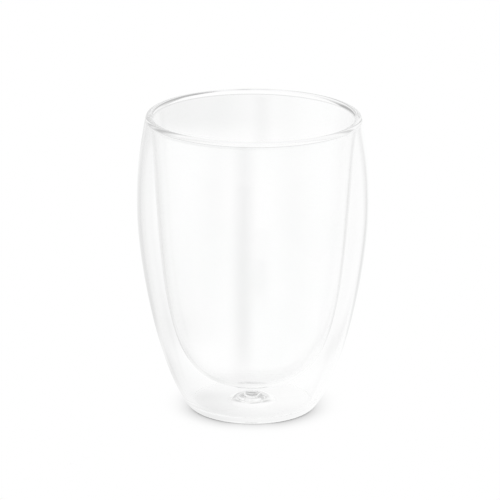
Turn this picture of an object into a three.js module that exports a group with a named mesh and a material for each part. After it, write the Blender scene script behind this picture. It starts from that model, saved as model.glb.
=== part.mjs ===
// Double-walled glass tumbler: an outer shell and an inner cup, fused at one rounded lip round an air gap.
// Millimetres, +Z up. The origin is the middle of the foot, on the surface that the tumbler stands on.
import * as THREE from "three";

const degrees = THREE.MathUtils.degToRad;

// Whole tumbler and its fused lip
const HEIGHT = 115;
const LIP_HEIGHT = 3.3;
const LIP_CREST_INSET = 1.6;
const LIP_ARCH_RISE = 1.5;

// Outer shell, measured on its outside
const BELLY_RADIUS = 44.2;
const BELLY_HEIGHT = 80.3;
const RIM_RADIUS = 41.2;
const RIM_LEAN = degrees(9);
const FOOT_RADIUS = 23.8;
const HEEL_HEIGHT = 6.8;
const HEEL_FLARE = degrees(27.8);
const HEEL_ROUNDING = 1.3;
const INSIDE_HEEL_ROUNDING = 3;
const OUTER_WALL = 1.4;

// Inner cup, held clear of the outer shell by the air gap
const RIM_AIR_GAP = 1.1;
const MOUTH_FLARE = degrees(4.2);
const WAIST_AIR_GAP = 5.5;
const WAIST_HEIGHT = 41;
const WAIST_FLARE = degrees(11.3);
const BOWL_AIR_GAP = 4.6;
const INNER_WALL = 1.2;

// Pressed dimple under the foot, with the vent hole in its roof
const DIMPLE_RADIUS = 9.6;
const DIMPLE_ROOF_RADIUS = 5;
const DIMPLE_DEPTH = 2;
const VENT_RADIUS = 2.5;

// Silicone plug: a head in the dimple, a stem through the vent and a barb inside
const PLUG_HEAD_CLEARANCE = 0.4;
const PLUG_HEAD_LIFT = 0.9;
const PLUG_HEAD_ROUNDING = 0.4;
const PLUG_STEM_CLEARANCE = 0.15;
const PLUG_BARB_OVERHANG = 0.7;
const PLUG_BARB_CLEARANCE = 0.1;
const PLUG_BARB_HEIGHT = 1;

// How far each end of a wall line keeps its lean, as a share of that line's own rise or reach
const HEEL_FULLNESS = 0.236;
const BELLY_FULLNESS_BELOW = 0.291;
const BELLY_FULLNESS_ABOVE = 0.507;
const RIM_FULLNESS = 0.302;
const BOWL_FULLNESS = 0.625;
const WAIST_FULLNESS_BELOW = 0.793;
const WAIST_FULLNESS_ABOVE = 0.263;
const MOUTH_FULLNESS = 0.347;
const LIP_SIDE_FULLNESS = 0.7;
const LIP_CREST_FULLNESS = 0.7;

// Facets
const CURVE_STEPS = 8;
const TURN_STEPS = 48;
const HALVINGS = 30;

// A profile point: distance from the axis, then height.
function at(radius, height) {
  return new THREE.Vector2(radius, height);
}

// The point that lies a length further up a line, which leans outwards by an angle from upright.
function upAlong(point, lean, length) {
  return at(point.x + Math.sin(lean) * length, point.y + Math.cos(lean) * length);
}

// A smooth wall line from a lower point to an upper one, with its lean and its fullness at each.
function wallLine(low, lowLean, lowFullness, high, highLean, highFullness) {
  const rise = high.y - low.y;
  const lowHandle = upAlong(low, lowLean, lowFullness * rise);
  const highHandle = upAlong(high, highLean, -highFullness * rise);
  return new THREE.CubicBezierCurve(low, lowHandle, highHandle, high);
}

// The radius of a rising line at a height, found by halving the stretch that holds it.
function radiusAt(line, height) {
  let low = 0;
  let high = 1;
  for (let step = 0; step < HALVINGS; step++) {
    const middle = (low + high) / 2;
    if (line.getPoint(middle).y < height) low = middle;
    else high = middle;
  }
  return line.getPoint(low).x;
}

// Points one wall thickness inside a line that is drawn upwards on the outside of a shell.
function insideOf(line, wall) {
  return line.getPoints(CURVE_STEPS).map((point, step) => {
    const tangent = line.getTangent(step / CURVE_STEPS);
    return at(point.x - wall * tangent.y, point.y + wall * tangent.x);
  });
}

// The inside edge of a wall that is cut level at its top, where its outside edge has this radius.
function insideAtCut(radius, lean, wall) {
  return radius - wall / Math.cos(lean);
}

// The rounded heel between a level base and the flared wall above it.
function heelLine(level, rounding, heel) {
  const corner = at(heel.x - Math.tan(HEEL_FLARE) * (heel.y - level), level);
  const foot = at(corner.x - rounding, level);
  return new THREE.QuadraticBezierCurve(foot, corner, heel).getPoints(CURVE_STEPS);
}

// The base round the vent: level roof, then a smooth step down, lifted by the wall for its upper side.
function dimpleLine(lift) {
  const roof = lift + DIMPLE_DEPTH;
  const third = (DIMPLE_RADIUS - DIMPLE_ROOF_RADIUS) / 3;
  const line = new THREE.Path();
  line.moveTo(VENT_RADIUS, roof);
  line.lineTo(DIMPLE_ROOF_RADIUS, roof);
  line.bezierCurveTo(DIMPLE_ROOF_RADIUS + third, roof, DIMPLE_RADIUS - third, lift, DIMPLE_RADIUS, lift);
  return line.getPoints(CURVE_STEPS);
}

// A solid turned from a profile that goes anticlockwise round the material, with height along Z.
function turned(name, profile, material) {
  const geometry = new THREE.LatheGeometry(profile, TURN_STEPS);
  geometry.rotateX(Math.PI / 2);
  const mesh = new THREE.Mesh(geometry, material);
  mesh.name = name;
  return mesh;
}

function clearGlass(opacity) {
  return new THREE.MeshStandardMaterial({
    color: 0xf4f7f7,
    roughness: 0.02,
    metalness: 0,
    transparent: true,
    opacity,
  });
}

function milkySilicone() {
  return new THREE.MeshStandardMaterial({ color: 0xdfe2e2, roughness: 0.55, metalness: 0 });
}

// Points and lines that more than one piece uses
const seamHeight = HEIGHT - LIP_HEIGHT;
const rim = at(RIM_RADIUS, seamHeight);
const rimInside = at(insideAtCut(RIM_RADIUS, RIM_LEAN, OUTER_WALL), seamHeight);
const mouth = at(rimInside.x - RIM_AIR_GAP, seamHeight);
const mouthInside = at(insideAtCut(mouth.x, MOUTH_FLARE, INNER_WALL), seamHeight);
const heel = at(FOOT_RADIUS + HEEL_ROUNDING + Math.tan(HEEL_FLARE) * HEEL_HEIGHT, HEEL_HEIGHT);
const belly = at(BELLY_RADIUS, BELLY_HEIGHT);
const sideBelow = wallLine(heel, HEEL_FLARE, HEEL_FULLNESS, belly, 0, BELLY_FULLNESS_BELOW);
const sideAbove = wallLine(belly, 0, BELLY_FULLNESS_ABOVE, rim, -RIM_LEAN, RIM_FULLNESS);
const barbBottom = DIMPLE_DEPTH + OUTER_WALL + PLUG_BARB_CLEARANCE;
const barbTop = barbBottom + PLUG_BARB_HEIGHT;

function outerShell() {
  const outside = [
    ...dimpleLine(0),
    ...heelLine(0, HEEL_ROUNDING, heel),
    ...sideBelow.getPoints(CURVE_STEPS).slice(1),
    ...sideAbove.getPoints(CURVE_STEPS).slice(1),
  ];
  const insideBelow = insideOf(sideBelow, OUTER_WALL);
  const inside = [
    ...dimpleLine(OUTER_WALL),
    ...heelLine(OUTER_WALL, INSIDE_HEEL_ROUNDING, insideBelow[0]),
    ...insideBelow.slice(1),
    ...insideOf(sideAbove, OUTER_WALL).slice(1, -1),
    rimInside,
  ];
  return turned("outer_shell", [...outside, ...inside.reverse(), outside[0]], clearGlass(0.3));
}

function innerCup() {
  const bottom = at(0, barbTop + BOWL_AIR_GAP);
  const waistRadius = radiusAt(sideBelow, WAIST_HEIGHT) - OUTER_WALL - WAIST_AIR_GAP;
  const waist = at(waistRadius, WAIST_HEIGHT);
  const bowlHandle = at(BOWL_FULLNESS * waist.x, bottom.y);
  const waistHandle = upAlong(waist, WAIST_FLARE, -WAIST_FULLNESS_BELOW * (waist.y - bottom.y));
  const bowl = new THREE.CubicBezierCurve(bottom, bowlHandle, waistHandle, waist);
  const side = wallLine(waist, WAIST_FLARE, WAIST_FULLNESS_ABOVE, mouth, MOUTH_FLARE, MOUTH_FULLNESS);
  const outside = [...bowl.getPoints(CURVE_STEPS), ...side.getPoints(CURVE_STEPS).slice(1)];
  const inside = [
    ...insideOf(bowl, INNER_WALL),
    ...insideOf(side, INNER_WALL).slice(1, -1),
    mouthInside,
  ];
  return turned("inner_cup", [...outside, ...inside.reverse()], clearGlass(0.3));
}

// The lip sits on the level cut edges of both walls and closes the air gap between them with an arch.
function fusedLip() {
  const crest = at(RIM_RADIUS - LIP_CREST_INSET, HEIGHT);
  const sideHandle = LIP_SIDE_FULLNESS * LIP_HEIGHT;
  const outerHandle = at(crest.x + LIP_CREST_FULLNESS * (rim.x - crest.x), HEIGHT);
  const innerHandle = at(crest.x - LIP_CREST_FULLNESS * (crest.x - mouthInside.x), HEIGHT);
  const outerHalf = new THREE.CubicBezierCurve(rim, upAlong(rim, -RIM_LEAN, sideHandle), outerHandle, crest);
  const innerStart = upAlong(mouthInside, MOUTH_FLARE, sideHandle);
  const innerHalf = new THREE.CubicBezierCurve(crest, innerHandle, innerStart, mouthInside);
  const arch = new THREE.EllipseCurve(
    (mouth.x + rimInside.x) / 2,
    seamHeight,
    (rimInside.x - mouth.x) / 2,
    LIP_ARCH_RISE,
    Math.PI,
    0,
    true,
  );
  const profile = [
    ...outerHalf.getPoints(CURVE_STEPS),
    ...innerHalf.getPoints(CURVE_STEPS).slice(1),
    ...arch.getPoints(CURVE_STEPS),
    rim,
  ];
  return turned("fused_lip", profile, clearGlass(0.45));
}

function ventPlug() {
  const headRadius = DIMPLE_ROOF_RADIUS - PLUG_HEAD_CLEARANCE;
  const stemRadius = VENT_RADIUS - PLUG_STEM_CLEARANCE;
  const barbRadius = VENT_RADIUS + PLUG_BARB_OVERHANG;
  const profile = new THREE.Path();
  profile.moveTo(0, PLUG_HEAD_LIFT);
  profile.lineTo(headRadius - PLUG_HEAD_ROUNDING, PLUG_HEAD_LIFT);
  profile.quadraticCurveTo(headRadius, PLUG_HEAD_LIFT, headRadius, PLUG_HEAD_LIFT + PLUG_HEAD_ROUNDING);
  profile.lineTo(headRadius, DIMPLE_DEPTH);
  profile.lineTo(stemRadius, DIMPLE_DEPTH);
  profile.lineTo(stemRadius, barbBottom);
  profile.lineTo(barbRadius, barbBottom);
  profile.quadraticCurveTo(barbRadius, barbTop, 0, barbTop);
  return turned("vent_plug", profile.getPoints(CURVE_STEPS / 2), milkySilicone());
}

const tumbler = new THREE.Group();
tumbler.add(outerShell(), innerCup(), fusedLip(), ventPlug());

export default tumbler;
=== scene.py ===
# %% [markdown]
# # A double-walled glass tumbler
#
# The object is a clear tumbler made of two blown glass shells. The outer one bulges to a belly, the inner
# one is an egg-shaped cup, and both are melted into one rounded lip. The air between them is sealed. A
# small silicone plug closes the vent in the middle of the foot. Glass has almost no colour of its own, so
# nearly all that the eye gets is how its walls bend the light. That makes three things matter here: exact
# sections, smooth normals and a studio with something pale grey in it for the edges to show.
#
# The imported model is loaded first. It fixes the sizes, and every piece below is drawn in its frame, in
# metres.

# %% Load the frame
import math

import bpy
from mathutils import Matrix, Vector


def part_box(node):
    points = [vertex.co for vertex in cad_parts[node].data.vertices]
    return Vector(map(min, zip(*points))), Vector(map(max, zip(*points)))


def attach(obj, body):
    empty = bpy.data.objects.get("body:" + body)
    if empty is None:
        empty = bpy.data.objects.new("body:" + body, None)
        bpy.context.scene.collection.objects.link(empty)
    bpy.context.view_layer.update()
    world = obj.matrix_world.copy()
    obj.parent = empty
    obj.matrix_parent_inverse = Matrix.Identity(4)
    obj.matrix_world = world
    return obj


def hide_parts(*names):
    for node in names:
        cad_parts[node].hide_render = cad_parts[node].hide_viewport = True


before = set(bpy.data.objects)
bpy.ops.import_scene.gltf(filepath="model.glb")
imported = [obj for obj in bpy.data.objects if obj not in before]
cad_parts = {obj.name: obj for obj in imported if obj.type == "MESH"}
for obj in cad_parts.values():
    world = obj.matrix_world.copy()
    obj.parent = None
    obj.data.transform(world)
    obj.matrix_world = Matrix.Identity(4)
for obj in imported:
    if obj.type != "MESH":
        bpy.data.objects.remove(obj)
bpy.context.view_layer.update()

# %% [markdown]
# ## Sizes from the frame
#
# The frame's boxes give the main sizes: the belly, the lip, the level seam where the walls end and the
# lip starts, and the plug. The rest are the leans and heights that shape the section between those
# points. They are written in metres and degrees, next to the line that they bend.

# %% Sizes
MM = 0.001

lip_low, lip_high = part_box("fused_lip")
shell_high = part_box("outer_shell")[1]
cup_low, cup_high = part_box("inner_cup")
plug_low, plug_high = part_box("vent_plug")

SEAM = lip_low.z
CREST = lip_high.z
RIM_RADIUS = lip_high.x
BELLY_RADIUS = shell_high.x
MOUTH_RADIUS = cup_high.x
BOWL_LEVEL = cup_low.z

OUTER_WALL = 1.4 * MM
INNER_WALL = 1.2 * MM
print("belly", round(BELLY_RADIUS, 4), "rim", round(RIM_RADIUS, 4), "seam", round(SEAM, 4))

# %% [markdown]
# ## A pen for half sections
#
# A glass designer draws half of the tumbler's section and turns it round the axis. The same works here.
# The Bezier pen draws the section on the X-Z plane with few points and handles, the curve is converted to
# a line of vertices, and Spin turns that line into a body. A cylinder pushed into shape would need many
# edge loops to come as close to a blown curve, and each small error would show as a wobble in the glass.

# %% Pen points
UPRIGHT = 0.0
OUTWARDS = math.radians(90)
DOWNWARDS = math.radians(180)


def heading(lean):
    """The direction that leans outwards from upright by an angle, on the X-Z plane."""
    return Vector((math.sin(lean), 0.0, math.cos(lean)))


def corner(radius, height):
    """A pen point with a straight line on both sides."""
    point = Vector((radius, 0.0, height))
    return {"at": point, "back": None, "ahead": None}


def bend(radius, height, lean, back=None, ahead=None):
    """A pen point with a handle on one or both sides, along the way that the line runs there."""
    point = Vector((radius, 0.0, height))
    way = heading(lean)
    return {
        "at": point,
        "back": None if back is None else point - way * back,
        "ahead": None if ahead is None else point + way * ahead,
    }


def reversed_line(points):
    """The same pen points, drawn from the last to the first."""
    return [{"at": p["at"], "back": p["ahead"], "ahead": p["back"]} for p in reversed(points)]


print("the rim's pen point is", [round(part, 4) for part in corner(RIM_RADIUS, SEAM)["at"]])


# %% Drawing and turning
TURN_STEPS = 160
MERGE_DISTANCE = 0.002 * MM
WALLS_ROUNDED_BELOW = math.radians(40)


def deselect_everything():
    bpy.ops.object.select_all(action="DESELECT")


def draw_section(name, points, closed, steps):
    """Draws a half section with the Bezier pen and converts it to a line of vertices."""
    deselect_everything()
    bpy.ops.curve.primitive_bezier_curve_add(location=(0, 0, 0))
    section = bpy.context.object
    section.name = name
    section.data.resolution_u = steps
    pen = section.data.splines[0]
    pen.bezier_points.add(len(points) - len(pen.bezier_points))
    pen.use_cyclic_u = closed
    for drawn, wanted in zip(pen.bezier_points, points):
        drawn.co = wanted["at"]
        drawn.handle_left_type = "VECTOR" if wanted["back"] is None else "FREE"
        drawn.handle_right_type = "VECTOR" if wanted["ahead"] is None else "FREE"
    for drawn, wanted in zip(pen.bezier_points, points):
        if wanted["back"] is not None:
            drawn.handle_left = wanted["back"]
        if wanted["ahead"] is not None:
            drawn.handle_right = wanted["ahead"]
    bpy.ops.object.convert(target="MESH")
    return bpy.context.object


def turn_section(section):
    """Spins a half section once round the axis, closes its seam and poles, and turns its faces outwards."""
    bpy.ops.object.mode_set(mode="EDIT")
    bpy.ops.mesh.select_all(action="SELECT")
    bpy.ops.mesh.spin(steps=TURN_STEPS, angle=math.tau, center=(0, 0, 0), axis=(0, 0, 1))
    bpy.ops.mesh.select_all(action="SELECT")
    bpy.ops.mesh.remove_doubles(threshold=MERGE_DISTANCE)
    bpy.ops.mesh.normals_make_consistent(inside=False)
    bpy.ops.object.mode_set(mode="OBJECT")
    bpy.ops.object.shade_smooth_by_angle(angle=WALLS_ROUNDED_BELOW)
    print(section.name, "has", len(section.data.polygons), "faces")


print("a turn has steps of", math.degrees(math.tau) / TURN_STEPS, "degrees")

# %% [markdown]
# ## The outer shell
#
# The outer wall starts at the vent under the foot, steps down the pressed dimple, runs out along the flat
# foot, turns up the heel and swells to the belly before it comes in at the rim. Its inside follows one
# wall thickness away. Close to the seam both sides run straight for a moment, so that the lip can carry
# on with the same slope.

# %% Base of the outer section
FOOT_RADIUS = 23.8 * MM
DIMPLE_RADIUS = 9.6 * MM
DIMPLE_ROOF_RADIUS = 5 * MM
DIMPLE_DEPTH = 2 * MM
VENT_RADIUS = 2.5 * MM


def base_line(level):
    """The underside or upper side of the base, from the vent out to the foot of the dimple."""
    third = (DIMPLE_RADIUS - DIMPLE_ROOF_RADIUS) / 3
    return [
        corner(VENT_RADIUS, level + DIMPLE_DEPTH),
        bend(DIMPLE_ROOF_RADIUS, level + DIMPLE_DEPTH, OUTWARDS, ahead=third),
        bend(DIMPLE_RADIUS, level, OUTWARDS, back=third),
    ]


print("dimple reaches", round(DIMPLE_RADIUS / MM, 1), "mm from the axis")


# %% Side of the outer section
BELLY_HEIGHT = 80.3 * MM
RIM_LEAN = math.radians(9)
HEEL_HEIGHT = 6.8 * MM
HEEL_FLARE = math.radians(27.8)
HEEL_ROUNDING = 1.3 * MM
INSIDE_HEEL_ROUNDING = 3 * MM
SEAM_STRAIGHT = 0.15 * MM

# Handles this far towards a corner bend the line as one plain curve
WAY_TO_CORNER = 2 / 3

# How far each end of a wall line keeps its lean, as a share of the line's rise
HEEL_FULLNESS = 0.236
BELLY_FULLNESS_BELOW = 0.291
BELLY_FULLNESS_ABOVE = 0.507
RIM_FULLNESS = 0.302

heel_radius = FOOT_RADIUS + HEEL_ROUNDING + math.tan(HEEL_FLARE) * HEEL_HEIGHT


def side_line(wall, level, rounding):
    """The heel, belly and rim, one wall thickness in from the outside of the shell."""
    heel = Vector((heel_radius, 0, HEEL_HEIGHT)) - heading(HEEL_FLARE + OUTWARDS) * wall
    turn = heel.x - math.tan(HEEL_FLARE) * (heel.z - level)
    heel_handle = WAY_TO_CORNER * (heel.z - level) / math.cos(HEEL_FLARE)
    below = BELLY_HEIGHT - heel.z
    above = SEAM - BELLY_HEIGHT
    belly_below = BELLY_FULLNESS_BELOW * below
    belly_above = BELLY_FULLNESS_ABOVE * above
    rim = Vector((RIM_RADIUS - wall / math.cos(RIM_LEAN), 0, SEAM))
    straight = rim - heading(-RIM_LEAN) * SEAM_STRAIGHT
    return [
        bend(turn - rounding, level, OUTWARDS, ahead=WAY_TO_CORNER * rounding),
        bend(heel.x, heel.z, HEEL_FLARE, heel_handle, HEEL_FULLNESS * below),
        bend(BELLY_RADIUS - wall, BELLY_HEIGHT, UPRIGHT, belly_below, belly_above),
        bend(straight.x, straight.z, -RIM_LEAN, back=RIM_FULLNESS * above),
        corner(rim.x, rim.z),
    ]


print("heel ends", round(heel_radius / MM, 2), "mm from the axis")

# %% Turn the outer shell
PEN_STEPS = 14

outside = base_line(0) + side_line(0, 0, HEEL_ROUNDING)
inside = base_line(OUTER_WALL) + side_line(OUTER_WALL, OUTER_WALL, INSIDE_HEEL_ROUNDING)
outer_shell = draw_section("outer_shell_glass", outside + reversed_line(inside), True, PEN_STEPS)
turn_section(outer_shell)

# %% [markdown]
# ## The inner cup
#
# The cup is a round bowl that runs into a nearly straight, slightly flared side. A sphere could be pulled
# into an egg, but its side would not run straight up to the lip, so the cup is drawn with the same pen.
# Its section starts and ends on the axis, so Spin leaves a bundle of vertices at each pole, which the
# merge turns into one.

# %% Inner section
MOUTH_FLARE = math.radians(4.2)
WAIST_RADIUS = 32.52 * MM
WAIST_HEIGHT = 41 * MM
WAIST_FLARE = math.radians(11.3)
BOWL_FULLNESS = 0.625
WAIST_FULLNESS_BELOW = 0.793
WAIST_FULLNESS_ABOVE = 0.263
MOUTH_FULLNESS = 0.347


def cup_line(wall):
    """The bowl, waist and side of the cup, one wall thickness in from its outside."""
    bottom = BOWL_LEVEL + wall
    waist = Vector((WAIST_RADIUS, 0, WAIST_HEIGHT)) - heading(WAIST_FLARE + OUTWARDS) * wall
    mouth = Vector((MOUTH_RADIUS - wall / math.cos(MOUTH_FLARE), 0, SEAM))
    straight = mouth - heading(MOUTH_FLARE) * SEAM_STRAIGHT
    waist_below = WAIST_FULLNESS_BELOW * (waist.z - bottom)
    waist_above = WAIST_FULLNESS_ABOVE * (SEAM - waist.z)
    return [
        bend(0, bottom, OUTWARDS, ahead=BOWL_FULLNESS * waist.x),
        bend(waist.x, waist.z, WAIST_FLARE, waist_below, waist_above),
        bend(straight.x, straight.z, MOUTH_FLARE, back=MOUTH_FULLNESS * (SEAM - waist.z)),
        corner(mouth.x, mouth.z),
    ]


print("cup hangs", round(BOWL_LEVEL / MM, 2), "mm above the foot")

# %% Turn the inner cup
BOWL_STEPS = 22

cup_section = cup_line(0) + reversed_line(cup_line(INNER_WALL))
inner_cup = draw_section("inner_cup_glass", cup_section, False, BOWL_STEPS)
turn_section(inner_cup)

# %% [markdown]
# ## The fused lip
#
# At the lip the two walls are melted together and drawn into a round bead by the flame. The bead sits on
# the cut edges of both walls, and the air gap between them ends in a small arch. The lip is the only
# place where the glass is solid right through, so it catches light that runs round the ring inside it.
# That gives it short dark marks even in a white room, and it is why its section has to be as smooth as
# the walls.

# %% Lip section
CREST_INSET = 1.6 * MM
LIP_SIDE_FULLNESS = 0.7
LIP_CREST_FULLNESS = 0.7
ARCH_RISE = 1.5 * MM
ARCH_HANDLE = 0.75 * MM
ARCH_FULLNESS = 0.25

crest_radius = RIM_RADIUS - CREST_INSET
rim_inside = RIM_RADIUS - OUTER_WALL / math.cos(RIM_LEAN)
mouth_inside = MOUTH_RADIUS - INNER_WALL / math.cos(MOUTH_FLARE)


def past_seam(radius, lean):
    """The point where a wall's straight end goes over into the bead."""
    return Vector((radius, 0, SEAM)) + heading(lean) * SEAM_STRAIGHT


def bead_line():
    """Round the bead, from the outer wall over the crest to the inner wall."""
    side = LIP_SIDE_FULLNESS * (CREST - SEAM)
    outer = past_seam(RIM_RADIUS, -RIM_LEAN)
    inner = past_seam(mouth_inside, MOUTH_FLARE)
    over = LIP_CREST_FULLNESS * (RIM_RADIUS - crest_radius)
    under = LIP_CREST_FULLNESS * (crest_radius - mouth_inside)
    return [
        corner(RIM_RADIUS, SEAM),
        bend(outer.x, outer.z, -RIM_LEAN, ahead=side),
        bend(crest_radius, CREST, -OUTWARDS, over, under),
        bend(inner.x, inner.z, MOUTH_FLARE + DOWNWARDS, back=side),
        corner(mouth_inside, SEAM),
    ]


def arch_line():
    """Through the arch over the air gap, from the inner wall to the outer one."""
    inner = past_seam(MOUTH_RADIUS, MOUTH_FLARE)
    outer = past_seam(rim_inside, -RIM_LEAN)
    reach = ARCH_FULLNESS * (outer.x - inner.x)
    return [
        corner(MOUTH_RADIUS, SEAM),
        bend(inner.x, inner.z, MOUTH_FLARE, ahead=ARCH_HANDLE),
        bend((inner.x + outer.x) / 2, SEAM + ARCH_RISE, OUTWARDS, reach, reach),
        bend(outer.x, outer.z, DOWNWARDS - RIM_LEAN, back=ARCH_HANDLE),
        corner(rim_inside, SEAM),
    ]


print("lip is", round((RIM_RADIUS - mouth_inside) / MM, 2), "mm thick at the seam")

# %% Turn the lip
fused_lip = draw_section("fused_lip_glass", bead_line() + arch_line(), True, PEN_STEPS)
turn_section(fused_lip)

# %% [markdown]
# ## The vent plug
#
# The plug is moulded in soft silicone: a flat head in the dimple, a stem through the vent and a low round
# barb above the base. It is short and simple, so it starts from a cylinder of the head's size instead of
# a drawn section. The head's lower edge is bevelled as a mould would leave it. Then the top face is inset
# to the stem, extruded, widened into the barb and closed in rings.

# %% Plug head
PLUG_SIDES = 64
HEAD_ROUNDING = 0.4 * MM
HEAD_ROUNDING_STEPS = 4
HEAD_CLEARANCE = 0.05 * MM
ON_LEVEL = 0.01 * MM

head_radius = plug_high.x
head_level = plug_low.z
head_top = DIMPLE_DEPTH - HEAD_CLEARANCE

deselect_everything()
bpy.ops.mesh.primitive_cylinder_add(
    vertices=PLUG_SIDES,
    radius=head_radius,
    depth=head_top - head_level,
    location=(0, 0, (head_top + head_level) / 2),
)
vent_plug = bpy.context.object
vent_plug.name = "vent_plug_silicone"
bpy.ops.object.transform_apply(location=True, rotation=True, scale=True)

bpy.ops.object.mode_set(mode="EDIT")
bpy.ops.mesh.select_mode(type="EDGE")
bpy.ops.mesh.select_all(action="DESELECT")
bpy.ops.object.mode_set(mode="OBJECT")
plug_points = vent_plug.data.vertices
for edge in vent_plug.data.edges:
    edge.select = all(plug_points[end].co.z < head_level + ON_LEVEL for end in edge.vertices)
bpy.ops.object.mode_set(mode="EDIT")
bpy.ops.mesh.bevel(offset=HEAD_ROUNDING, segments=HEAD_ROUNDING_STEPS, affect="EDGES")
bpy.ops.object.mode_set(mode="OBJECT")
print("plug head is bevelled to", len(vent_plug.data.polygons), "faces")


# %% Plug stem and barb
STEM_CLEARANCE = 0.15 * MM
BARB_OVERHANG = 0.7 * MM
BARB_CLEARANCE = 0.1 * MM
BARB_RINGS = 7
LAST_RING = 0.97
PLUG_ROUNDED_BELOW = math.radians(35)

stem_radius = VENT_RADIUS - STEM_CLEARANCE
barb_radius = VENT_RADIUS + BARB_OVERHANG
barb_level = DIMPLE_DEPTH + OUTER_WALL + BARB_CLEARANCE
barb_height = plug_high.z - barb_level


def raise_face(height):
    bpy.ops.mesh.extrude_region_move(TRANSFORM_OT_translate={"value": (0, 0, height)})


def widen_face(factor):
    bpy.ops.transform.resize(value=(factor, factor, 1))


bpy.ops.object.mode_set(mode="EDIT")
bpy.ops.mesh.select_mode(type="FACE")
bpy.ops.mesh.select_all(action="DESELECT")
bpy.ops.object.mode_set(mode="OBJECT")
head_face = max(vent_plug.data.polygons, key=lambda face: face.center.z)
head_face.select = True
bpy.ops.object.mode_set(mode="EDIT")
bpy.ops.mesh.inset(thickness=head_radius - stem_radius)
raise_face(barb_level - head_top)
raise_face(0)
widen_face(barb_radius / stem_radius)
angles = [LAST_RING * OUTWARDS * ring / BARB_RINGS for ring in range(BARB_RINGS + 1)]
for low, high in zip(angles, angles[1:]):
    rise = (math.sin(high) - math.sin(low)) / math.sin(angles[-1])
    raise_face(barb_height * rise)
    widen_face(math.cos(high) / math.cos(low))
bpy.ops.object.mode_set(mode="OBJECT")
bpy.ops.object.shade_smooth_by_angle(angle=PLUG_ROUNDED_BELOW)
print(vent_plug.name, "has", len(vent_plug.data.polygons), "faces")

# %% [markdown]
# ## Node groups
#
# Two effects serve more than one finish, so each is a node group with named sockets, built once. Blown
# shells come from drawn tube, and drawing leaves faint lines along it, too shallow to feel. A noise that
# is stretched along Z gives their height. Wiping a glass dry leaves a trace of haze in patches: a second
# noise, with slow curls, makes the surface a little less smooth and a shade less clear there. Both read
# Object coordinates, so they stay on the glass from any side.

# %% Group helpers
FLOAT = "NodeSocketFloat"
VECTOR = "NodeSocketVector"
COLOUR = "NodeSocketColor"


def new_group(name, inputs, outputs):
    """An empty node group with named sockets. Gives the group, what goes in and what comes out."""
    group = bpy.data.node_groups.new(name, "ShaderNodeTree")
    for title, kind in inputs.items():
        group.interface.new_socket(title, in_out="INPUT", socket_type=kind)
    for title, kind in outputs.items():
        group.interface.new_socket(title, in_out="OUTPUT", socket_type=kind)
    given = group.nodes.new("NodeGroupInput").outputs
    made = group.nodes.new("NodeGroupOutput").inputs
    return group, given, made


def place_group(tree, group, values):
    """Puts a group into a material or world with its own values."""
    node = tree.nodes.new("ShaderNodeGroup")
    node.node_tree = group
    for title, value in values.items():
        node.inputs[title].default_value = value
    return node


print("groups have sockets of", FLOAT, VECTOR, COLOUR)


# %% Draw lines
ALONG_THE_TUBE = 0.06
LINE_DETAIL = 1.0


def make_draw_lines():
    """Faint upright lines: a noise that changes slowly along Z."""
    inputs = {"Position": VECTOR, "Lines per metre": FLOAT}
    group, given, made = new_group("draw_lines", inputs, {"Height": FLOAT})
    stretch = group.nodes.new("ShaderNodeMapping")
    stretch.inputs["Scale"].default_value = (1, 1, ALONG_THE_TUBE)
    noise = group.nodes.new("ShaderNodeTexNoise")
    noise.inputs["Detail"].default_value = LINE_DETAIL
    group.links.new(given["Position"], stretch.inputs["Vector"])
    group.links.new(stretch.outputs["Vector"], noise.inputs["Vector"])
    group.links.new(given["Lines per metre"], noise.inputs["Scale"])
    group.links.new(noise.outputs["Fac"], made["Height"])
    return group


draw_lines = make_draw_lines()
print(draw_lines.name, "holds", len(draw_lines.nodes), "nodes")


# %% Wiping haze
PATCHES_PER_METRE = 30.0
PATCH_CURLS = 0.7
CLEAN_BELOW = 0.40
HAZED_ABOVE = 0.68


def make_wiping_haze():
    """Soft patches where the surface is a little rougher and a shade less clear."""
    inputs = {
        "Position": VECTOR,
        "Clean": FLOAT,
        "Hazed": FLOAT,
        "Clean colour": COLOUR,
        "Hazed colour": COLOUR,
    }
    group, given, made = new_group("wiping_haze", inputs, {"Roughness": FLOAT, "Colour": COLOUR})
    noise = group.nodes.new("ShaderNodeTexNoise")
    noise.inputs["Scale"].default_value = PATCHES_PER_METRE
    noise.inputs["Distortion"].default_value = PATCH_CURLS
    patch = group.nodes.new("ShaderNodeMapRange")
    patch.interpolation_type = "SMOOTHSTEP"
    patch.inputs["From Min"].default_value = CLEAN_BELOW
    patch.inputs["From Max"].default_value = HAZED_ABOVE
    rough = group.nodes.new("ShaderNodeMix")
    shade = group.nodes.new("ShaderNodeMixRGB")
    group.links.new(given["Position"], noise.inputs["Vector"])
    group.links.new(noise.outputs["Fac"], patch.inputs["Value"])
    group.links.new(patch.outputs["Result"], rough.inputs["Factor"])
    group.links.new(given["Clean"], rough.inputs["A"])
    group.links.new(given["Hazed"], rough.inputs["B"])
    group.links.new(patch.outputs["Result"], shade.inputs["Fac"])
    group.links.new(given["Clean colour"], shade.inputs["Color1"])
    group.links.new(given["Hazed colour"], shade.inputs["Color2"])
    group.links.new(rough.outputs["Result"], made["Roughness"])
    group.links.new(shade.outputs["Color"], made["Colour"])
    return group


wiping_haze = make_wiping_haze()
print(wiping_haze.name, "holds", len(wiping_haze.nodes), "nodes")
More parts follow.
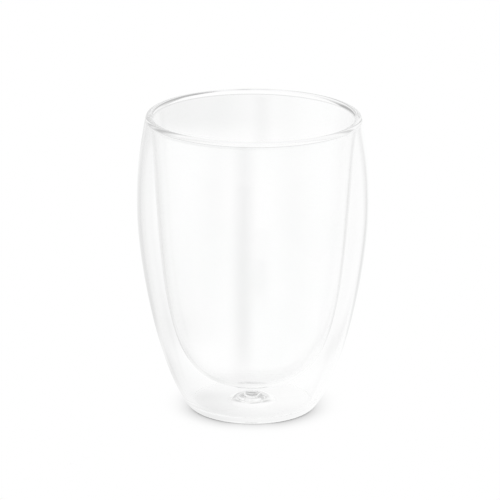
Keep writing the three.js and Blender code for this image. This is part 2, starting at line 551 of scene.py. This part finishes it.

# %% [markdown]
# ## Grey cards in a white room
#
# In a room that is white all round, clear glass would vanish. Photographers stand grey cards outside the
# picture, and the glass bends them into view as soft lines along its walls. Here a card is an angle round
# the tumbler, the reach to each side over which it fades to white, its brightness in the middle, where 1
# is the white of the room, and where it starts and ends. Angles run from straight behind the tumbler,
# with its right side positive and the camera at 180 degrees. A node group turns a list of cards into a
# brightness for any place in the room. The walls of the room and the floor each have such a list, and the
# glass has one that paints dark marks into its own painted glow.

# %% Node helpers
def new_math(tree, operation, *values):
    """A maths node whose inputs are numbers or other nodes' outputs."""
    node = tree.nodes.new("ShaderNodeMath")
    node.operation = operation
    for socket, value in zip(node.inputs, values):
        if isinstance(value, float):
            socket.default_value = value
        else:
            tree.links.new(value, socket)
    return node.outputs[0]


def soft_step(tree, value, start, end, low, high):
    """A smooth change from one level to another, while a value goes from start to end."""
    node = tree.nodes.new("ShaderNodeMapRange")
    node.interpolation_type = "SMOOTHSTEP"
    tree.links.new(value, node.inputs["Value"])
    for title, number in (("From Min", start), ("From Max", end), ("To Min", low), ("To Max", high)):
        node.inputs[title].default_value = number
    return node.outputs["Result"]


# %% Card ring
def card_ring(name, cards, edge):
    """A node group for a brightness with its cards, by direction and distance or height: the room's and the
    floor's, or the dark marks in the glass's painted glow.
    """
    sockets = {"Direction": VECTOR, "Place": FLOAT}
    group, given, made = new_group(name, sockets, {"Brightness": FLOAT})
    parts = group.nodes.new("ShaderNodeSeparateXYZ")
    group.links.new(given["Direction"], parts.inputs["Vector"])
    angle = new_math(group, "ARCTAN2", parts.outputs["X"], parts.outputs["Y"])
    brightness = 1.0
    for centre, reach, level, start, end in cards:
        aside = new_math(group, "SUBTRACT", angle, math.radians(centre))
        turned = new_math(group, "WRAP", aside, math.pi, -math.pi)
        distance = new_math(group, "ABSOLUTE", turned)
        middle = soft_step(group, distance, 0.0, math.radians(reach), 1.0 - level, 0.0)
        after = soft_step(group, given["Place"], start - edge, start + edge, 0.0, 1.0)
        before = soft_step(group, given["Place"], end - edge, end + edge, 1.0, 0.0)
        within = new_math(group, "MULTIPLY", after, before)
        darker = new_math(group, "MULTIPLY", middle, within)
        shade = new_math(group, "SUBTRACT", 1.0, darker)
        brightness = new_math(group, "MULTIPLY", shade, brightness)
    group.links.new(brightness, made["Brightness"])
    print(name, "has", len(cards), "cards in", len(group.nodes), "nodes")
    return group


# %% [markdown]
# ## Clear glass
#
# The shells are clear borosilicate, which bends light a little less than window glass. The Principled
# shader with full transmission is all it needs, because each wall is a real body with two sides: light
# goes in, crosses the wall and comes out. A thin sheet with a see-through colour would be quicker, but it
# bends nothing, and then the edges, the lip and the base would be blank. The lip was polished by the
# flame, so it has hardly any draw lines and no haze.
#
# Light that gets into the solid ring of the lip is mirrored to and fro inside it many times. If it were
# dropped after a number of turns, the ring would come out black. So at the last turn the glass glows with
# painted light in place of what the room would have sent there in the end: nearly white, with five cards
# that paint the short dark marks along the lip. Walls and lip both have this painted glow.

# %% Finish helpers
LINE_DISTANCE = 1 * MM


def new_finish(name):
    """A material with the Principled shader, and the object's own coordinates to hang patterns on."""
    finish = bpy.data.materials.new(name)
    finish.use_nodes = True
    tree = finish.node_tree
    where = tree.nodes.new("ShaderNodeTexCoord").outputs["Object"]
    return finish, tree, tree.nodes["Principled BSDF"], where


def haze_over(tree, shader, where, clean, hazed, clean_colour, hazed_colour):
    """Lets the wiping haze drive a shader's roughness and colour."""
    values = {"Clean": clean, "Hazed": hazed, "Clean colour": clean_colour, "Hazed colour": hazed_colour}
    haze = place_group(tree, wiping_haze, values)
    tree.links.new(where, haze.inputs["Position"])
    tree.links.new(haze.outputs["Roughness"], shader.inputs["Roughness"])
    tree.links.new(haze.outputs["Colour"], shader.inputs["Base Color"])


def lines_over(tree, shader, where, lines_per_metre, strength):
    """Lets the draw lines tilt a shader's normals."""
    lines = place_group(tree, draw_lines, {"Lines per metre": lines_per_metre})
    tree.links.new(where, lines.inputs["Position"])
    bump = tree.nodes.new("ShaderNodeBump")
    bump.inputs["Strength"].default_value = strength
    bump.inputs["Distance"].default_value = LINE_DISTANCE
    tree.links.new(lines.outputs["Height"], bump.inputs["Height"])
    tree.links.new(bump.outputs["Normal"], shader.inputs["Normal"])


# %% Painted glow at the last turn
LAST_TURN = 24
PAINTED_GLOW_STRENGTH = 0.96
ALL_HEIGHTS = (-1.0, 1.0)
LAST_EDGE = 0.1

# Painted shade: each card darkens the glass's painted glow round its angle, as a short dark mark along the
# lip
# Angle, reach, brightness, start and end of each card
PAINTED_MARK_CARDS = (
    (-76, 23, 0.55, *ALL_HEIGHTS),
    (-50, 14, 0.6, *ALL_HEIGHTS),
    (-13, 17, 0.45, *ALL_HEIGHTS),
    (26, 14, 0.42, *ALL_HEIGHTS),
    (70, 16, 0.68, *ALL_HEIGHTS),
)
painted_mark_cards = card_ring("painted_mark_cards", PAINTED_MARK_CARDS, LAST_EDGE)


def painted_glow_at_last(finish, tree, shader, where):
    """Paints a glow on the glass at the last turn, nearly white with dark card marks, in place of the
    room's light.
    """
    turns = tree.nodes.new("ShaderNodeLightPath").outputs["Ray Depth"]
    late = new_math(tree, "GREATER_THAN", turns, LAST_TURN + 0.5)
    ring = place_group(tree, painted_mark_cards, {"Place": 0.0})
    tree.links.new(where, ring.inputs["Direction"])
    painted_glow = new_math(tree, "MULTIPLY", late, ring.outputs["Brightness"])
    # Painted glow: the glass gives off this light itself at the last turn, darker where the cards paint
    # marks
    tree.links.new(painted_glow, shader.inputs["Emission Color"])
    shader.inputs["Emission Strength"].default_value = PAINTED_GLOW_STRENGTH
    finish.cycles.emission_sampling = "NONE"


# %% Glass finishes
GLASS_INDEX = 1.47
POLISHED = 0.0
CLEAR = (1.0, 1.0, 1.0, 1)
CLEAR_SHADE = (0.994, 0.996, 0.995, 1)


def glass_finish(name, hazed, lines_per_metre, strength):
    """Clear glass with its own share of haze and draw lines."""
    finish, tree, shader, where = new_finish(name)
    shader.inputs["IOR"].default_value = GLASS_INDEX
    shader.inputs["Transmission Weight"].default_value = 1.0
    # Painted glow at the last turn, with painted dark marks along the lip
    painted_glow_at_last(finish, tree, shader, where)
    haze_over(tree, shader, where, POLISHED, hazed, CLEAR, CLEAR_SHADE)
    lines_over(tree, shader, where, lines_per_metre, strength)
    print("glass finish:", finish.name)
    return finish


wall_glass = glass_finish("clear_borosilicate", hazed=0.03, lines_per_metre=70.0, strength=0.10)
lip_glass = glass_finish("flame_polished_glass", hazed=POLISHED, lines_per_metre=40.0, strength=0.03)

# %% [markdown]
# ## Milky silicone
#
# The plug is translucent silicone, soft and slightly cloudy. Light passes it but comes out scattered.
# Clouds inside the body could do that, but in so small a piece a lightly rough surface looks the same and
# renders faster. So it gets full transmission, some roughness and a faint mottle in its colour, from the
# same group as the haze on the glass.

# %% Silicone finish
SILICONE_INDEX = 1.41
MOULDED = 0.12
HANDLED = 0.22
MILKY = (1.0, 1.0, 0.995, 1)
MILKY_SHADE = (0.98, 0.985, 0.985, 1)


def silicone_finish(name):
    """Translucent silicone with a faint mottle."""
    finish, tree, shader, where = new_finish(name)
    shader.inputs["IOR"].default_value = SILICONE_INDEX
    shader.inputs["Transmission Weight"].default_value = 1.0
    haze_over(tree, shader, where, MOULDED, HANDLED, MILKY, MILKY_SHADE)
    print("plug finish:", finish.name)
    return finish


silicone = silicone_finish("milky_silicone")

# %% [markdown]
# ## The weld
#
# Where the lip meets the walls, the glass is melted into one. The pieces are separate bodies that meet
# face to face there, and two glass faces pressed together would still mirror light as if air lay between
# them. So the flat faces at the seam get a finish of their own that is not there at all, and light runs
# on from wall to lip.

# %% Dress the pieces
LEVEL_NORMAL = 0.9

weld = new_finish("weld_without_a_face")[0]
weld.node_tree.nodes["Principled BSDF"].inputs["Alpha"].default_value = 0.0


def dress_glass(piece, finish):
    """Gives a glass piece its finish, and the weld's finish to its flat faces at the seam."""
    piece.data.materials.append(finish)
    piece.data.materials.append(weld)
    welded = 0
    for face in piece.data.polygons:
        if abs(face.center.z - SEAM) < ON_LEVEL and abs(face.normal.z) > LEVEL_NORMAL:
            face.material_index = 1
            welded += 1
    print(piece.name, "meets the weld with", welded, "faces")


dress_glass(outer_shell, wall_glass)
dress_glass(inner_cup, wall_glass)
dress_glass(fused_lip, lip_glass)
vent_plug.data.materials.append(silicone)

# %% [markdown]
# ## The room
#
# The world is the white room above the floor. Its cards stand round the horizon, and their start and end
# are heights, from -1 straight down to 1 straight up. They are what the lip and the rounded base show
# most, because those send light off to the sides. The camera itself always sees white there.

# %% Room
# Angle, reach, brightness, lowest and greatest height of each card
WALL_CARDS = (
    (-18, 45, 0.62, -1.0, 0.55),
    (-170, 18, 0.6, -1.0, 0.2),
)
WALL_EDGE = 0.08

world = bpy.data.worlds.new("white_room")
bpy.context.scene.world = world
world.use_nodes = True
room = world.node_tree
toward = room.nodes.new("ShaderNodeTexCoord").outputs["Generated"]
toward_parts = room.nodes.new("ShaderNodeSeparateXYZ")
room.links.new(toward, toward_parts.inputs["Vector"])
wall_ring = place_group(room, card_ring("wall_cards", WALL_CARDS, WALL_EDGE), {})
room.links.new(toward, wall_ring.inputs["Direction"])
room.links.new(toward_parts.outputs["Z"], wall_ring.inputs["Place"])
camera_ray = room.nodes.new("ShaderNodeLightPath").outputs["Is Camera Ray"]
wall_light = new_math(room, "MAXIMUM", wall_ring.outputs["Brightness"], camera_ray)
room.links.new(wall_light, room.nodes["Background"].inputs["Strength"])
room.nodes["Background"].inputs["Color"].default_value = CLEAR
print(world.name, "holds", len(room.nodes), "nodes")

# %% [markdown]
# ## The floor
#
# The tumbler stands on a white floor that runs on as the backdrop. Seen through the glass, it shows the
# white of the room with its own grey cards lying round the tumbler, between two distances from its axis.
# Those that lie in front draw the edges for anyone behind the glass. One more card in front shows only in
# mirror images: the near walls mirror it as the soft streak down the middle. Light that comes straight
# through, or passes more than the six faces that lead to the inside of the cup and back, misses it. A
# strip of grey paper in front of the glass would do this in a studio, but it would also show through the
# glass from behind.

# %% Floor
FLOOR_SIDE = 8.0

deselect_everything()
bpy.ops.mesh.primitive_plane_add(size=FLOOR_SIDE, location=(0, 0, 0))
floor = bpy.context.object
floor.name = "white_floor"

floor_paint = bpy.data.materials.new("white_floor_paint")
floor_paint.use_nodes = True
floor.data.materials.append(floor_paint)
paint = floor_paint.node_tree
paint.nodes.clear()
on_floor = paint.nodes.new("ShaderNodeTexCoord").outputs["Object"]
floor_parts = paint.nodes.new("ShaderNodeSeparateXYZ")
paint.links.new(on_floor, floor_parts.inputs["Vector"])
floor_x = floor_parts.outputs["X"]
floor_y = floor_parts.outputs["Y"]
from_axis_node = paint.nodes.new("ShaderNodeVectorMath")
from_axis_node.operation = "LENGTH"
paint.links.new(on_floor, from_axis_node.inputs[0])
from_axis = from_axis_node.outputs["Value"]
print(floor.name, "is", FLOOR_SIDE, "m wide")


# %% Floor cards
FLOOR_EDGE = 0.025
PAST_FLOOR = 9.0
NEAR_FACES = 6

# Angle, reach, brightness, nearest and farthest distance of each card
FLOOR_CARDS = (
    (-40, 33, 0.77, 0.08, PAST_FLOOR),
    (-75, 48, 0.8, 0.03, 0.08),
    (38, 13, 0.78, 0.07, PAST_FLOOR),
    (135, 28, 0.87, 0.08, PAST_FLOOR),
    (-135, 28, 0.87, 0.08, PAST_FLOOR),
    (-9, 16, 0.88, 0.41, PAST_FLOOR),
)
MIRROR_CARDS = ((-170, 16, 0.3, 0.05, PAST_FLOOR),)


def lay_cards(name, cards):
    """The brightness of the floor with a list of cards on it."""
    ring = place_group(paint, card_ring(name, cards, FLOOR_EDGE), {})
    paint.links.new(on_floor, ring.inputs["Direction"])
    paint.links.new(from_axis, ring.inputs["Place"])
    return ring.outputs["Brightness"]


light_path = paint.nodes.new("ShaderNodeLightPath").outputs
through = new_math(paint, "LESS_THAN", light_path["Glossy Depth"], 0.5)
beyond = new_math(paint, "GREATER_THAN", light_path["Transmission Depth"], NEAR_FACES + 0.5)
elsewhere = new_math(paint, "MAXIMUM", through, beyond)
in_mirror = new_math(paint, "MAXIMUM", lay_cards("mirror_cards", MIRROR_CARDS), elsewhere)
card_light = new_math(paint, "MULTIPLY", lay_cards("floor_cards", FLOOR_CARDS), in_mirror)

# %% [markdown]
# ## Under the foot
#
# Little light gets under the base of a glass. There the floor is a little darker to the left and in
# front, and darkest under the back of the dimple, which the plug shows as a small dark crescent. Lamps
# and real shadows would need very many samples to come through two walls and a plug, so the floor's own
# brightness has the shade in it, and only for light that comes through the glass.

# %% Floor under the foot
UNDER_LEFT = 0.87
UNDER_FRONT = 0.92
UNDER_DIMPLE = 0.4

# Where each change starts and ends, along X, along Y or from the axis
LEFT_TO_RIGHT = (-22 * MM, 4 * MM)
LEFT_TO_BACK = (2 * MM, 14 * MM)
FRONT_TO_MIDDLE = (-20 * MM, 0.0)
FOOT_EDGE = (18 * MM, 34 * MM)
DIMPLE_TO_BACK = (-2 * MM, 5 * MM)
DIMPLE_EDGE = (5 * MM, 10 * MM)

sideways = soft_step(paint, floor_x, *LEFT_TO_RIGHT, 1.0 - UNDER_LEFT, 0.0)
beside = soft_step(paint, floor_y, *LEFT_TO_BACK, 1.0, 0.0)
left_shade = new_math(paint, "MULTIPLY", sideways, beside)
front_shade = soft_step(paint, floor_y, *FRONT_TO_MIDDLE, 1.0 - UNDER_FRONT, 0.0)
uneven = new_math(paint, "ADD", left_shade, front_shade)
near_foot = soft_step(paint, from_axis, *FOOT_EDGE, 1.0, 0.0)
foot_shade = new_math(paint, "MULTIPLY", uneven, near_foot)
behind = soft_step(paint, floor_y, *DIMPLE_TO_BACK, 0.0, 1.0 - UNDER_DIMPLE)
near_dimple = soft_step(paint, from_axis, *DIMPLE_EDGE, 1.0, 0.0)
dimple_shade = new_math(paint, "MULTIPLY", behind, near_dimple)
darker = new_math(paint, "MAXIMUM", foot_shade, dimple_shade)
shaded = new_math(paint, "SUBTRACT", 1.0, darker)
through_glass = new_math(paint, "MULTIPLY", shaded, card_light)
print("floor is darkest under the dimple, at", UNDER_DIMPLE)

# %% [markdown]
# ## The shadow at the foot
#
# Seen straight, the floor is white and keeps the narrow dark shadow that a glass has round its foot.
# Ambient Occlusion finds it from how close the glass is. A lamp would cast it too, but with a bright
# pattern of bent light beside it. The shadow is deeper to both sides than in front, and faint behind.

# %% Floor shadow
SHADOW_REACH = 12 * MM
SHADOW_CURVE = 4.0
SHADOW_SAMPLES = 16
FRONT_DEPTH = 0.85
SIDE_DEPTH = 1.27
BACK_SHARE = 0.6
MIDDLE_TO_SIDE = (4 * MM, 13 * MM)
FRONT_TO_BACK = (-15 * MM, 0.0)

contact = paint.nodes.new("ShaderNodeAmbientOcclusion")
contact.samples = SHADOW_SAMPLES
contact.inputs["Distance"].default_value = SHADOW_REACH
closed_in = new_math(paint, "SUBTRACT", 1.0, contact.outputs["AO"])
shadow = new_math(paint, "POWER", closed_in, SHADOW_CURVE)
from_middle = new_math(paint, "ABSOLUTE", floor_x)
depth = soft_step(paint, from_middle, *MIDDLE_TO_SIDE, FRONT_DEPTH, SIDE_DEPTH)
share = soft_step(paint, floor_y, *FRONT_TO_BACK, 1.0, BACK_SHARE)
shadow_depth = new_math(paint, "MULTIPLY", depth, share)
dark = new_math(paint, "MULTIPLY", shadow, shadow_depth)
seen_straight = new_math(paint, "SUBTRACT", 1.0, dark)
print("shadow reaches", round(SHADOW_REACH / MM, 1), "mm from the glass")

# %% Floor paint
FLOOR_WHITE = (0.8, 0.8, 0.8, 1)

shown = paint.nodes.new("ShaderNodeMix")
paint.links.new(light_path["Is Camera Ray"], shown.inputs["Factor"])
paint.links.new(through_glass, shown.inputs["A"])
paint.links.new(seen_straight, shown.inputs["B"])
glow = paint.nodes.new("ShaderNodeEmission")
paint.links.new(shown.outputs["Result"], glow.inputs["Strength"])
matt = paint.nodes.new("ShaderNodeBsdfDiffuse")
matt.inputs["Color"].default_value = FLOOR_WHITE
by_glass = new_math(paint, "MAXIMUM", light_path["Is Glossy Ray"], light_path["Is Transmission Ray"])
by_eye = new_math(paint, "MAXIMUM", by_glass, light_path["Is Camera Ray"])
surface = paint.nodes.new("ShaderNodeMixShader")
paint.links.new(by_eye, surface.inputs["Fac"])
paint.links.new(matt.outputs["BSDF"], surface.inputs[1])
paint.links.new(glow.outputs["Emission"], surface.inputs[2])
painted = paint.nodes.new("ShaderNodeOutputMaterial")
paint.links.new(surface.outputs["Shader"], painted.inputs["Surface"])
print(floor_paint.name, "holds", len(paint.nodes), "nodes")

# %% [markdown]
# ## The camera
#
# The picture was taken from a little above the rim with a long lens, so the sides hardly converge. The
# place and lens here put the rim's ellipse, the belly and the foot where the photo has them.

# %% Camera
IMAGE_SIDE = 500
FOCAL_PIXELS = 3021.4
SENSOR = 36.0
NEAREST_SEEN = 10 * MM
PITCH = math.radians(17.328)
ROLL = math.radians(0.37)
CAMERA_PLACE = (-1.1 * MM, -1100 * MM, 404.94 * MM)

camera_data = bpy.data.cameras.new("photo_camera")
camera_data.sensor_width = SENSOR
camera_data.lens = FOCAL_PIXELS / IMAGE_SIDE * SENSOR
camera_data.clip_start = NEAREST_SEEN
camera = bpy.data.objects.new("photo_camera", camera_data)
bpy.context.scene.collection.objects.link(camera)
aim = Matrix.Rotation(OUTWARDS - PITCH, 3, "X") @ Matrix.Rotation(ROLL, 3, "Z")
camera.rotation_euler = aim.to_euler()
camera.location = CAMERA_PLACE
bpy.context.scene.camera = camera
print("camera looks down by", round(math.degrees(PITCH), 1), "degrees")

# %% [markdown]
# ## Put it together
#
# Every piece rides on the tumbler's one body and stands for the node that it was drawn from. The renderer
# follows light for as many turns as the glass finish counts on, and keeps its mirror images sharp.

# %% Ride and settings
for piece, node, slot in (
    (outer_shell, "outer_shell", "clear_glass"),
    (inner_cup, "inner_cup", "clear_glass"),
    (fused_lip, "fused_lip", "clear_glass"),
    (vent_plug, "vent_plug", "silicone"),
):
    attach(piece, "root")
    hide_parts(node)
    print(piece.name, "rides on root for", node)

scene = bpy.context.scene
scene.view_settings.view_transform = "Standard"
scene.cycles.max_bounces = LAST_TURN
scene.cycles.transmission_bounces = LAST_TURN
scene.cycles.glossy_bounces = LAST_TURN
scene.cycles.transparent_max_bounces = LAST_TURN
scene.cycles.blur_glossy = 0.0
